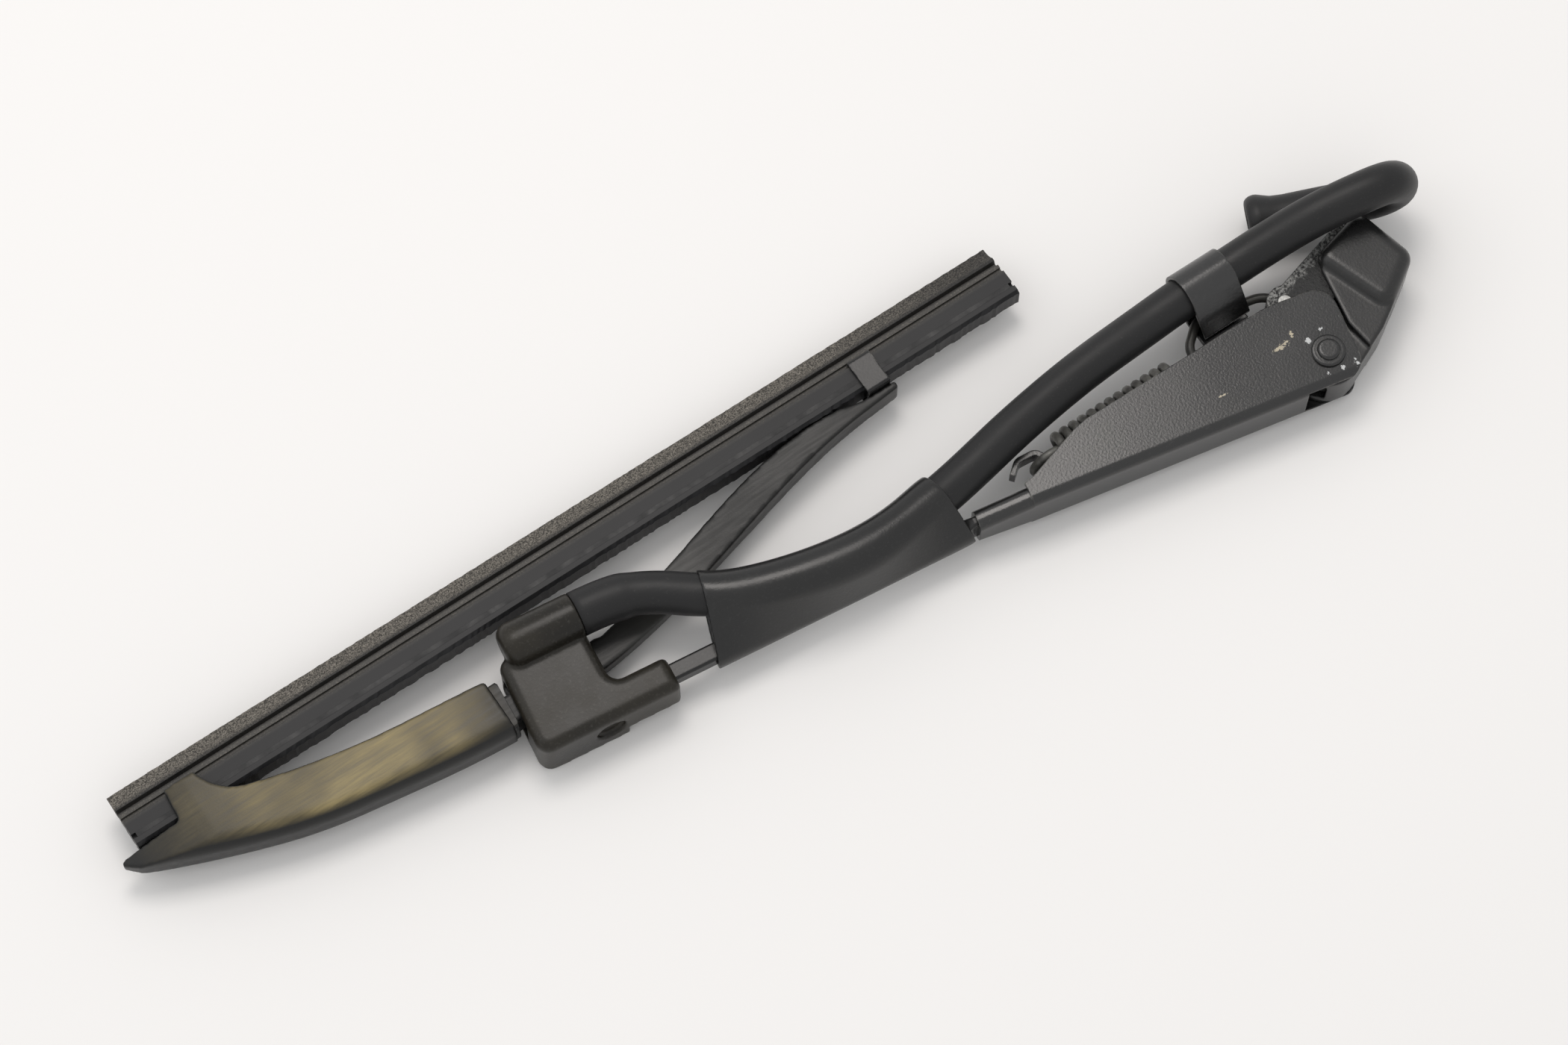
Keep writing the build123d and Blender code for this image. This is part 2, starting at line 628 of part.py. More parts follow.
# Blade adapter: moulded block with the rod's socket, the blade's slot and the hose's spigot
slot_front = ROD_DEPTH / 2 + SOCKET_WALL_BACK
slot_back = ADAPTER_BACK - 2.1
with BuildPart() as blade_adapter:
    with BuildSketch(adapter.offset(ADAPTER_BOTTOM)) as adapter_plan:
        with BuildLine():
            Polyline(
                (ADAPTER_LEFT, ADAPTER_FRONT),
                (0, ADAPTER_FRONT),
                (0, slot_front),
                (ADAPTER_RIGHT, slot_front),
                (ADAPTER_RIGHT, ADAPTER_BACK),
                (ADAPTER_LEFT + 0.6, ADAPTER_BACK),
                close=True,
            )
        make_face()
        corners = adapter_plan.vertices().group_by(Axis.X)
        fillet(corners[-1], radius=1.2)
    extrude(amount=ADAPTER_TOP - ADAPTER_BOTTOM)
    upright = blade_adapter.edges().filter_by(Axis.Z)
    notch = upright.sort_by_distance(adapter.from_local_coords((ADAPTER_RIGHT, slot_front, 0)))[0]
    fillet(notch, radius=NOTCH_RADIUS)
    upright = blade_adapter.edges().filter_by(Axis.Z).sort_by(Axis.X)
    fillet(upright[:2], radius=3.0)
    with BuildSketch(adapter.offset(ADAPTER_BOTTOM)):
        with Locations((ADAPTER_RIGHT, ADAPTER_FRONT - 1)):
            Rectangle(1 - ADAPTER_RIGHT, slot_front - ADAPTER_FRONT + 4, align=(Align.MIN, Align.MIN))
    extrude(amount=SOCKET_BOTTOM - ADAPTER_BOTTOM, mode=Mode.SUBTRACT)
    fillet(blade_adapter.faces().sort_by(Axis.Z)[-1].edges(), radius=2.2)
    boss_axis = adapter.from_local_coords((0, *BOSS_CENTRE))
    with BuildSketch(Plane(boss_axis, x_dir=adapter.x_dir, z_dir=adapter.z_dir)):
        with BuildLine():
            FilletPolyline(
                (ADAPTER_RIGHT, 0),
                (ADAPTER_RIGHT, BOSS_RADIUS),
                (ADAPTER_LEFT + 2.8, BOSS_RADIUS),
                (ADAPTER_LEFT + 2.8, 0),
                radius=[0.5, 2.8],
            )
            Line((ADAPTER_LEFT + 2.8, 0), (ADAPTER_RIGHT, 0))
        make_face()
    revolve(axis=Axis(boss_axis, adapter.x_dir))
    # Slot for the blade's neck
    with BuildSketch(adapter.offset(-YOKE_HALF - GAP)):
        with Locations((ADAPTER_LEFT - 1, slot_front)):
            Rectangle(
                ADAPTER_RIGHT - ADAPTER_LEFT + NOTCH_RADIUS + 1,
                slot_back - slot_front,
                align=(Align.MIN, Align.MIN),
            )
    extrude(amount=YOKE_HALF + NECK_TOP + 2 * GAP, mode=Mode.SUBTRACT)
    # Rod socket
    with BuildSketch(across(adapter, -SOCKET_DEPTH)):
        RectangleRounded(ROD_DEPTH + 2 * SEATED, ROD_HEIGHT + 2 * SEATED, ROD_CORNER)
    extrude(amount=SOCKET_DEPTH, mode=Mode.SUBTRACT)
    # Moulding pocket in the front face
    with BuildSketch(along_y(adapter, ADAPTER_RIGHT - 4, ADAPTER_FRONT)):
        with Locations((-1, 0)):
            Circle(3.2)
    extrude(amount=1.2, mode=Mode.SUBTRACT)
    # Spigot with its water way and the two jets that point at the glass
    with BuildSketch(across(adapter, ADAPTER_RIGHT)):
        with Locations(BOSS_CENTRE):
            Circle(HOSE_BORE / 2 - SEATED)
    extrude(amount=2.0)
    with BuildSketch(across(adapter, ADAPTER_LEFT + 7)):
        with Locations(BOSS_CENTRE):
            Circle(WATER_BORE / 2)
    extrude(amount=ADAPTER_RIGHT - ADAPTER_LEFT + SPIGOT_LENGTH, mode=Mode.SUBTRACT)
    for jet in (ADAPTER_RIGHT - 4, ADAPTER_RIGHT - 10):
        with BuildSketch(along_y(adapter, jet, BOSS_CENTRE[0])):
            with Locations((BOSS_CENTRE[1], 0)):
                Circle(JET_BORE / 2)
        extrude(amount=2 * BOSS_RADIUS, mode=Mode.SUBTRACT)
    with BuildSketch(adapter.offset(ADAPTER_BOTTOM)):
        with Locations(BLADE_PIN):
            Circle(BLADE_PIN_RADIUS + SEATED)
    extrude(amount=ADAPTER_TOP - ADAPTER_BOTTOM - SHEET, mode=Mode.SUBTRACT)

blade_adapter.part.label = "blade_adapter"
export_step(blade_adapter.part, "parts/blade_adapter.step")

# Pin that the blade turns on, pressed in from below
with BuildPart() as blade_pin:
    with BuildSketch(blade.offset(ADAPTER_BOTTOM + GAP)):
        Circle(BLADE_PIN_RADIUS)
    extrude(amount=ADAPTER_TOP - ADAPTER_BOTTOM - SHEET - 2 * GAP)

blade_pin.part.label = "blade_pin"
export_step(blade_pin.part, "parts/blade_pin.step")

# Rubber: one extruded profile, held by its groove, with a slot each side for the strips
groove_start = RUBBER_BACK + 6.0
groove_end = RUBBER_BACK + 7.0
lip_edge = RUBBER_BACK + 13.2
strip_level = RUBBER_BACK + 2.4
strip_slot = STRIP_DEPTH / 2 + SEATED
strip_root = RUBBER_HALF - STRIP_WIDTH
with BuildPart() as wiper_rubber:
    with BuildSketch(across(blade, RUBBER_LEFT)):
        with BuildLine():
            Polyline(
                (RUBBER_BACK, 0),
                (RUBBER_BACK, RUBBER_HALF - 0.4),
                (RUBBER_BACK + 1.2, RUBBER_HALF),
                (strip_level - strip_slot, RUBBER_HALF),
                (strip_level - strip_slot, strip_root),
                (strip_level + strip_slot, strip_root),
                (strip_level + strip_slot, RUBBER_HALF),
                (groove_start, RUBBER_HALF),
                (groove_start, 1.8),
                (groove_end, 1.8),
                (groove_end + 0.2, 2.4),
                (groove_end + 0.9, 2.4),
                (groove_end + 1.2, 0.9),
                (groove_end + 1.8, 0.9),
                (groove_end + 2.2, 2.2),
                (groove_end + 2.8, 2.2),
            )
            ThreePointArc(
                (groove_end + 2.8, 2.2),
                (groove_end + 3.9, 0.9),
                (lip_edge - 0.4, 0.45),
            )
            Polyline((lip_edge - 0.4, 0.45), (lip_edge, 0.45), (lip_edge, 0), (RUBBER_BACK, 0))
        make_face()
        mirror(about=Plane.XZ)
    extrude(amount=RUBBER_RIGHT - RUBBER_LEFT)

wiper_rubber.part.label = "wiper_rubber"
export_step(wiper_rubber.part, "parts/wiper_rubber.step")

# Two spring-steel strips in the rubber's side slots
with BuildPart() as backing_strips:
    with BuildSketch(across(blade, RUBBER_LEFT + 1)):
        for side in (1, -1):
            with Locations((strip_level, side * (strip_root + SEATED + STRIP_WIDTH / 2))):
                Rectangle(STRIP_DEPTH, STRIP_WIDTH)
    extrude(amount=RUBBER_RIGHT - RUBBER_LEFT - 2)

backing_strips.part.label = "backing_strips"
export_step(backing_strips.part, "parts/backing_strips.step")

# Yoke: a hollow bow to one side, a neck on the pin and a slender lever to the other side
claw_top = groove_end - 0.1
claw_lip = 1.8 + 0.3
yoke_edge = RUBBER_BACK - GAP
side_plan = Plane(blade.origin, x_dir=blade.x_dir, z_dir=-blade.y_dir)
bow_back = [(YOKE_END, -5.4), (-26.1, -4.2), (-41.1, -2.0), (-55.2, 0.5), (-68.3, 4.4), (-79.5, 8.6)]
bow_inside = [(x, y + YOKE_WALL) for x, y in bow_back]
bow_edge = [
    (-69.4, 19.6), (-66.4, 16.7), (-62.4, 15.1), (-49.3, 11.7), (-37.2, 9.6), (-24.3, 8.2), (YOKE_END, 7.0),
]
with BuildPart() as blade_yoke:
    with BuildSketch(blade):
        with BuildLine():
            Spline(*bow_back, (-90.4, 13.2))
            Polyline(
                (-90.4, 13.2), (YOKE_TIP, 15.8), (YOKE_TIP + 0.6, yoke_edge), (CLAW_GRIP[0], yoke_edge),
                (CLAW_GRIP[0] + 0.6, claw_top), (CLAW_GRIP[1], claw_top),
            )
            Spline((CLAW_GRIP[1], claw_top), *bow_edge)
            Line(bow_edge[-1], bow_back[0])
        make_face()
    extrude(amount=YOKE_HALF, both=True)
    backs = blade_yoke.edges().filter_by(GeomType.BSPLINE).sort_by(SortBy.LENGTH)[-2:]
    fillet(backs, radius=YOKE_BACK_RADIUS)
    # The tip narrows to a boat's bow
    with BuildSketch(side_plan):
        with BuildLine():
            Spline((-64.0, YOKE_HALF), (-80.0, YOKE_HALF - 0.6), (YOKE_TIP - 1, 1.0))
            Polyline(
                (YOKE_TIP - 1, 1.0), (YOKE_TIP - 1, YOKE_HALF + 2), (-64.0, YOKE_HALF + 2), (-64.0, YOKE_HALF),
            )
        make_face()
        mirror(about=Plane.XZ)
    extrude(amount=2 * RUBBER_BACK, both=True, mode=Mode.SUBTRACT)
    with BuildSketch(blade):
        with BuildLine():
            Spline((YOKE_END - 3, bow_inside[0][1] + 0.2), *bow_inside[1:])
            Polyline(
                bow_inside[-1],
                (bow_inside[-1][0], claw_top + 1),
                (YOKE_END - 3, claw_top + 1),
                (YOKE_END - 3, bow_inside[0][1] + 0.2),
            )
        make_face()
    extrude(amount=RUBBER_HALF + GAP, both=True, mode=Mode.SUBTRACT)
    # Lips of the claw, in the rubber's groove
    for side in (1, -1):
        with BuildSketch(blade.offset(side * claw_lip)):
            with Locations((sum(CLAW_GRIP) / 2, (groove_start + groove_end) / 2)):
                Rectangle(CLAW_GRIP[1] - CLAW_GRIP[0] - 1, groove_end - groove_start - 0.2)
        extrude(amount=side * (YOKE_HALF - YOKE_CHEEK / 2 - claw_lip))
    # Neck through the adapter and lever under the hose
    with BuildSketch(blade.offset(-YOKE_HALF)):
        with BuildLine():
            FilletPolyline(
                (YOKE_END - 2, -3.2),
                (2.0, -3.2),
                (13.0, -0.2),
                (13.0, 4.4),
                (2.0, 2.8),
                (YOKE_END - 2, 2.8),
                radius=1.5,
                close=True,
            )
        make_face()
    extrude(amount=YOKE_HALF + LEVER_TOP)
    with BuildSketch(blade.offset(-YOKE_HALF)):
        with BuildLine():
            FilletPolyline(
                (YOKE_END - 2, -3.2), (3.4, -3.2), (3.4, 2.8), (YOKE_END - 2, 2.8),
                radius=1.5, close=True,
            )
        make_face()
    extrude(amount=YOKE_HALF + NECK_TOP)
    with BuildSketch(blade.offset(-YOKE_HALF)):
        with BuildLine():
            Spline((2.0, -3.2), (28.4, 0.4), (51.9, 6.4), (85.0, 13.0))
            Polyline((85.0, 13.0), (LEVER_END, 13.8), (LEVER_END, 15.4), (86.0, 15.4))
            Line((86.0, 15.4), (80.0, yoke_edge))
            Spline((80.0, yoke_edge), (62.0, 16.0), (34.5, 9.3), (2.0, 2.2))
            Line((2.0, 2.2), (2.0, -3.2))
        make_face()
    extrude(amount=YOKE_HALF + LEVER_RISE)
    # The lever runs low under the hose and rises to the claw
    with BuildSketch(side_plan):
        with BuildLine():
            Spline((3.5, LEVER_TOP), (38.0, LEVER_TOP + 0.1), (76.0, LEVER_RISE), tangents=((1, 0), (1, 0)))
            Polyline((76.0, LEVER_RISE), (76.0, YOKE_HALF), (3.5, YOKE_HALF), (3.5, LEVER_TOP))
        make_face()
        with BuildLine():
            Polyline(
                (54.0, -YOKE_HALF),
                (74.0, -LEVER_FOOT),
                (98.0, -LEVER_FOOT),
                (98.0, -YOKE_HALF - 1),
                (54.0, -YOKE_HALF - 1),
                close=True,
            )
        make_face()
    extrude(amount=3 * RUBBER_BACK, both=True, mode=Mode.SUBTRACT)
    with BuildSketch(blade):
        Circle(BLADE_PIN_RADIUS + RUNNING)
    extrude(amount=2 * YOKE_HALF, both=True, mode=Mode.SUBTRACT)

blade_yoke.part.label = "blade_yoke"
export_step(blade_yoke.part, "parts/blade_yoke.step")

# Sheet-metal claw at the lever's end, folded round the rubber's spine
with BuildPart() as end_claw:
    with BuildSketch(across(blade, CLAW_START)):
        with BuildLine():
            claw_half = RUBBER_HALF + GAP
            claw_line = FilletPolyline(
                (groove_start + 0.5, claw_lip + 0.1),
                (groove_start + 0.5, claw_half + CLAW_SHEET / 2),
                (15.4 + SEATED + CLAW_SHEET / 2, claw_half + CLAW_SHEET / 2),
                (15.4 + SEATED + CLAW_SHEET / 2, 0),
                radius=0.5,
            )
        trace(line_width=CLAW_SHEET)
        mirror(about=Plane.XZ)
    extrude(amount=CLAW_LENGTH)

end_claw.part.label = "end_claw"
export_step(end_claw.part, "parts/end_claw.step")
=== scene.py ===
import bpy
import bmesh
import math
import random
from mathutils import Matrix, Vector


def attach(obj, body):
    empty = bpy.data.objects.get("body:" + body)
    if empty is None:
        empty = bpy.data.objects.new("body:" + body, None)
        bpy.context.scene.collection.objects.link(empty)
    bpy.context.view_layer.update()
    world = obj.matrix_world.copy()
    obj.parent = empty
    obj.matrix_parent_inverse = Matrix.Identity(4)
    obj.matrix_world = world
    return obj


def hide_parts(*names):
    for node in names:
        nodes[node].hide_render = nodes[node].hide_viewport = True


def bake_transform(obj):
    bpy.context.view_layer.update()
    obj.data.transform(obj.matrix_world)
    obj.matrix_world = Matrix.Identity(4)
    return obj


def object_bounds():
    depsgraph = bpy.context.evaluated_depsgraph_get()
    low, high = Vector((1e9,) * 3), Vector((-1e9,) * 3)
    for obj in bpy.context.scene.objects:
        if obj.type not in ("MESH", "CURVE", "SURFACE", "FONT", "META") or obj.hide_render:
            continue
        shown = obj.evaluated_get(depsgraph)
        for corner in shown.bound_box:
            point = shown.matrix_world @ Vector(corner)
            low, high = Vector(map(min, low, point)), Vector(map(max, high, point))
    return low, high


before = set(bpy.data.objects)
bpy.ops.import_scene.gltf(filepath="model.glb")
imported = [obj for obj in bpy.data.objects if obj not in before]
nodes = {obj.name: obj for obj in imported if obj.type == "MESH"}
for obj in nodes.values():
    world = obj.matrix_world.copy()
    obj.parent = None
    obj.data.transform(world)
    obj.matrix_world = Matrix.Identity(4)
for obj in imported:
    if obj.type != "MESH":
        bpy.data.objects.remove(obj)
cad_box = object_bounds()
scene = bpy.context.scene
scene.view_settings.view_transform = "Standard"

MM = 0.001
UP = Vector((0.0, 0.0, 1.0))

# Places from the part's source, in millimetres and degrees
RIVET = Vector((-8.116158, -23.008216, 0.0))
SPRING_ANCHOR = Vector((-71.316158, -20.608216, 0.0))
HOOK_PIVOT = Vector((-11.026917, -8.823101, 0.0))
SOCKET_MOUTH = Vector((-152.0, -9.9, 0.0))
ROD_BEND = 4.5
BLADE_PIN = (-21.4, 9.4)
BLADE_TILT = 11.0
HEAD_FOLD = 26.4
CHANNEL_TOP = 6.0


def turned_axes(degrees):
    """The x and y directions of a plane turned about z."""
    angle = math.radians(degrees)
    return (
        Vector((math.cos(angle), math.sin(angle), 0.0)),
        Vector((-math.sin(angle), math.cos(angle), 0.0)),
    )


def metres(point):
    """A point in metres from one in millimetres."""
    return tuple(MM * value for value in point)


rod_x, rod_y = turned_axes(ROD_BEND)
blade_x, blade_y = turned_axes(BLADE_TILT)
blade_origin = RIVET + SOCKET_MOUTH + rod_x * BLADE_PIN[0] + rod_y * BLADE_PIN[1]


def on_blade(along, across, height):
    """A place measured from the blade's pin, along the blade and towards the glass."""
    return blade_origin + along * blade_x + across * blade_y + height * UP


# Camera at the photograph's angle, in metres
ELEVATION = math.radians(69.0)
AZIMUTH = math.radians(-23.2)
DISTANCE = 0.9
AIM = Vector((-0.1261, -0.0114, 0.0))
SENSOR_WIDTH = 36.0
FOCAL_LENGTH = 100.3
NEAR_LIMIT = 0.01

camera_back = Vector((
    math.sin(AZIMUTH) * math.cos(ELEVATION),
    -math.cos(AZIMUTH) * math.cos(ELEVATION),
    math.sin(ELEVATION),
))
camera_right = Vector((math.cos(AZIMUTH), math.sin(AZIMUTH), 0.0))
camera_up = camera_back.cross(camera_right)
camera_place = AIM + DISTANCE * camera_back
camera_data = bpy.data.cameras.new("camera")
camera_data.sensor_width = SENSOR_WIDTH
camera_data.lens = FOCAL_LENGTH
camera_data.clip_start = NEAR_LIMIT
camera = bpy.data.objects.new("camera", camera_data)
scene.collection.objects.link(camera)
camera.matrix_world = Matrix((
    (camera_right.x, camera_up.x, camera_back.x, camera_place.x),
    (camera_right.y, camera_up.y, camera_back.y, camera_place.y),
    (camera_right.z, camera_up.z, camera_back.z, camera_place.z),
    (0.0, 0.0, 0.0, 1.0),
))
scene.camera = camera

# Material helpers
PLAIN_SPECULAR = 0.5
DULL_SPECULAR = 0.35
BEVEL_SAMPLES = 6
EDGE_RANGE = (0.02, 0.2)
NOISE_RANGE = (0.3, 0.7)
WHOLE = (0.0, 1.0)
CHIP_GRAIN = 2100.0
CHIP_RAGGED = 0.95
CHIP_BORDER = (1.0, 0.85)


def grey(value):
    return (value, value, value)


def scaled(colour, share):
    return tuple(share * value for value in colour)


class Nodes:
    """A material's node tree, with short ways to add nodes and links."""

    def __init__(self, name, specular=PLAIN_SPECULAR):
        self.material = bpy.data.materials.new(name)
        self.material.use_nodes = True
        self.tree = self.material.node_tree
        self.shader = self.tree.nodes["Principled BSDF"]
        self.shader.inputs["Specular IOR Level"].default_value = specular
        self.place = self.tree.nodes.new("ShaderNodeTexCoord").outputs["Object"]

    def add(self, kind, **values):
        node = self.tree.nodes.new(kind)
        for key, value in values.items():
            setattr(node, key, value)
        return node

    def link(self, source, target):
        self.tree.links.new(source, target)

    def mapping(self, scale, turn=0.0, origin=(0.0, 0.0, 0.0), kind="POINT", vector=None):
        """Coordinates that are scaled, turned about z by degrees and moved."""
        node = self.add("ShaderNodeMapping", vector_type=kind)
        node.inputs["Location"].default_value = origin
        node.inputs["Rotation"].default_value = (0.0, 0.0, math.radians(turn))
        node.inputs["Scale"].default_value = scale
        self.link(vector or self.place, node.inputs["Vector"])
        return node.outputs["Vector"]

    def split(self, vector):
        """The x, y and z of a vector."""
        node = self.add("ShaderNodeSeparateXYZ")
        self.link(vector, node.inputs["Vector"])
        return node.outputs

    def local(self, origin, degrees):
        """Coordinates in millimetres in a frame turned about z, and their x, y and z."""
        vector = self.mapping(grey(MM), degrees, metres(origin), "TEXTURE")
        return vector, self.split(vector)

    def noise(self, scale, detail=3.0, rough=0.55, vector=None):
        node = self.add("ShaderNodeTexNoise")
        node.inputs["Scale"].default_value = scale
        node.inputs["Detail"].default_value = detail
        node.inputs["Roughness"].default_value = rough
        self.link(vector or self.place, node.inputs["Vector"])
        return node.outputs["Fac"]

    def ramp(self, value, source, target=WHOLE):
        """A value moved from one range into another."""
        node = self.add("ShaderNodeMapRange")
        node.inputs["From Min"].default_value = source[0]
        node.inputs["From Max"].default_value = source[1]
        node.inputs["To Min"].default_value = target[0]
        node.inputs["To Max"].default_value = target[1]
        self.link(value, node.inputs["Value"])
        return node.outputs["Result"]

    def math(self, kind, first, second):
        node = self.add("ShaderNodeMath", operation=kind)
        for socket, value in zip(node.inputs, (first, second)):
            if isinstance(value, (int, float)):
                socket.default_value = value
            else:
                self.link(value, socket)
        return node.outputs["Value"]

    def times(self, first, second):
        return self.math("MULTIPLY", first, second)

    def mix(self, factor, first, second):
        """A colour between two colours."""
        node = self.add("ShaderNodeMix", data_type="RGBA")
        self.link(factor, node.inputs["Factor"])
        for socket, value in ((node.inputs[6], first), (node.inputs[7], second)):
            if isinstance(value, tuple):
                socket.default_value = (*value, 1.0)
            else:
                self.link(value, socket)
        return node.outputs[2]

    def rounded_normal(self, radius):
        """The normal with the edges rounded by a radius in millimetres."""
        bevel = self.add("ShaderNodeBevel", samples=BEVEL_SAMPLES)
        bevel.inputs["Radius"].default_value = MM * radius
        return bevel.outputs["Normal"]

    def edges(self, radius):
        """A mask of the edges: where a rounded normal leaves the true one."""
        geometry = self.add("ShaderNodeNewGeometry")
        dot = self.add("ShaderNodeVectorMath", operation="DOT_PRODUCT")
        self.link(self.rounded_normal(radius), dot.inputs[0])
        self.link(geometry.outputs["Normal"], dot.inputs[1])
        return self.ramp(self.math("SUBTRACT", 1.0, dot.outputs["Value"]), EDGE_RANGE)

    def chip(self, centre, size):
        """A mask of one ragged patch: centre and half sizes in millimetres."""
        vector = self.mapping(metres(size), origin=metres(centre), kind="TEXTURE")
        length = self.add("ShaderNodeVectorMath", operation="LENGTH")
        self.link(vector, length.inputs[0])
        grain = self.noise(CHIP_GRAIN, detail=4.0)
        ragged = self.ramp(grain, NOISE_RANGE, (-CHIP_RAGGED, CHIP_RAGGED))
        return self.ramp(self.math("ADD", length.outputs["Value"], ragged), CHIP_BORDER)

    def bump(self, height, depth, strength, round_edges=0.0):
        """A relief and rounded edges, in millimetres."""
        node = self.add("ShaderNodeBump")
        node.inputs["Strength"].default_value = strength
        node.inputs["Distance"].default_value = MM * depth
        self.link(height, node.inputs["Height"])
        if round_edges:
            self.link(self.rounded_normal(round_edges), node.inputs["Normal"])
        self.link(node.outputs["Normal"], self.shader.inputs["Normal"])

    def finish(self, colour, rough):
        self.link(colour, self.shader.inputs["Base Color"])
        self.link(rough, self.shader.inputs["Roughness"])
        return self.material


# Materials
PAINT_DUST = (0.30, 0.29, 0.27)
PAINT_WORN = (0.26, 0.25, 0.23)


def black_paint(name, chips=(), wear=0.5, tone=0.010, rough=(0.22, 0.30), specular=0.62):
    """Satin black paint with orange peel, worn edges and chips."""
    paint = Nodes(name, specular)
    broad = paint.noise(45.0)
    dust = paint.ramp(paint.noise(1300.0, detail=2.0), (0.60, 0.75), (0.0, 0.04))
    rubbed = paint.ramp(paint.noise(420.0, detail=4.0), (0.48, 0.66), (0.0, wear))
    worn = paint.times(paint.edges(0.5), rubbed)
    peel = paint.noise(2000.0, detail=1.5)
    colour = paint.mix(broad, scaled((0.80, 0.80, 0.82), tone), scaled(grey(1.5), tone))
    colour = paint.mix(dust, colour, PAINT_DUST)
    colour = paint.mix(worn, colour, PAINT_WORN)
    for centre, size, chip_colour in chips:
        colour = paint.mix(paint.chip(centre, size), colour, chip_colour)
    paint.bump(peel, depth=0.04, strength=0.5, round_edges=0.4)
    return paint.finish(colour, paint.ramp(broad, NOISE_RANGE, rough))


def plastic(name, dark, light, worn, wear, rough, specular=PLAIN_SPECULAR):
    """Moulded plastic with weathered patches and rubbed edges."""
    resin = Nodes(name, specular)
    patches = resin.ramp(resin.noise(70.0, detail=4.0), (0.35, 0.68))
    grain = resin.noise(1700.0, detail=2.0)
    specks = resin.ramp(grain, (0.56, 0.80), (0.0, 0.12))
    rubbed = resin.ramp(resin.noise(300.0, detail=4.0), (0.40, 0.62), (0.0, wear))
    colour = resin.mix(patches, dark, light)
    colour = resin.mix(specks, colour, worn)
    colour = resin.mix(resin.times(resin.edges(0.6), rubbed), colour, worn)
    resin.bump(grain, depth=0.06, strength=0.4, round_edges=0.5)
    return resin.finish(colour, resin.ramp(patches, WHOLE, rough))


def steel(name, dark, light, rough, metallic):
    """Dull steel with stains: rough goes from the stains to the clean metal."""
    metal = Nodes(name)
    metal.shader.inputs["Metallic"].default_value = metallic
    stain = metal.ramp(metal.noise(260.0, detail=5.0), (0.35, 0.65))
    grit = metal.noise(1800.0, detail=2.0)
    metal.bump(grit, depth=0.08, strength=0.5)
    return metal.finish(metal.mix(stain, dark, light), metal.ramp(stain, WHOLE, rough))


def hose_rubber():
    """Matte black rubber with specks of dust and fine lines along the arm."""
    base = (0.011, 0.011, 0.0115)
    speck_colour = (0.07, 0.067, 0.062)
    soft = Nodes("hose_rubber", DULL_SPECULAR)
    lines = soft.noise(1200.0, vector=soft.mapping((0.1, 1.0, 1.0)))
    specks = soft.ramp(soft.noise(2100.0), (0.62, 0.74), (0.0, 0.25))
    cloud = soft.noise(60.0)
    colour = soft.mix(cloud, scaled(base, 0.75), scaled(base, 1.35))
    colour = soft.mix(specks, colour, speck_colour)
    soft.bump(lines, depth=0.07, strength=0.5)
    return soft.finish(colour, soft.ramp(cloud, NOISE_RANGE, (0.39, 0.53)))


def blade_rubber(back):
    """Black rubber with a dusty brown lip, and along the groove a paler tone of painted light with
    crumbs of dust, measured from its back.
    """
    soft = Nodes("blade_rubber", DULL_SPECULAR)
    vector, axes = soft.local(blade_origin, BLADE_TILT)
    crumbs = soft.noise(3.2, detail=4.0, rough=0.65, vector=vector)
    cloud = soft.noise(0.06, vector=vector)
    fine = soft.mapping((0.012, 1.0, 1.0), vector=vector)
    lines = soft.noise(1.4, detail=2.0, rough=0.5, vector=fine)
    lip = soft.ramp(axes["Y"], (back + 9.1, back + 10.2))
    groove_start = soft.ramp(axes["Y"], (back + 5.2, back + 6.6))
    groove_end = soft.ramp(axes["Y"], (back + 9.4, back + 8.4))
    groove = soft.times(groove_start, groove_end)
    # The lip's pale colour fades towards the blade's right end, leaving that end darker.
    lip_fade = soft.ramp(axes["X"], (80.0, 122.0), (0.95, 0.35))
    # In the groove this share never falls below 0.35: painted light that lifts the recess's shade, with
    # crumbs of dust above that.
    specks = soft.ramp(crumbs, (0.52, 0.64), (0.35, 1.0))
    dusty = soft.mix(soft.ramp(crumbs, (0.42, 0.66)), (0.034, 0.031, 0.027), (0.25, 0.228, 0.196))
    colour = soft.mix(cloud, (0.009, 0.009, 0.010), (0.016, 0.016, 0.017))
    colour = soft.mix(soft.times(lip, lip_fade), colour, dusty)
    # A paler tone along the groove: painted light against the recess's shade, plus crumbs of dust.
    colour = soft.mix(soft.times(groove, specks), colour, (0.10, 0.092, 0.078))
    crumbled = soft.times(crumbs, soft.ramp(lip, WHOLE, (0.04, 0.6)))
    height = soft.math("ADD", soft.times(lines, 0.3), crumbled)
    soft.bump(height, depth=0.15, strength=0.5)
    return soft.finish(colour, soft.ramp(lip, WHOLE, (0.48, 0.75)))


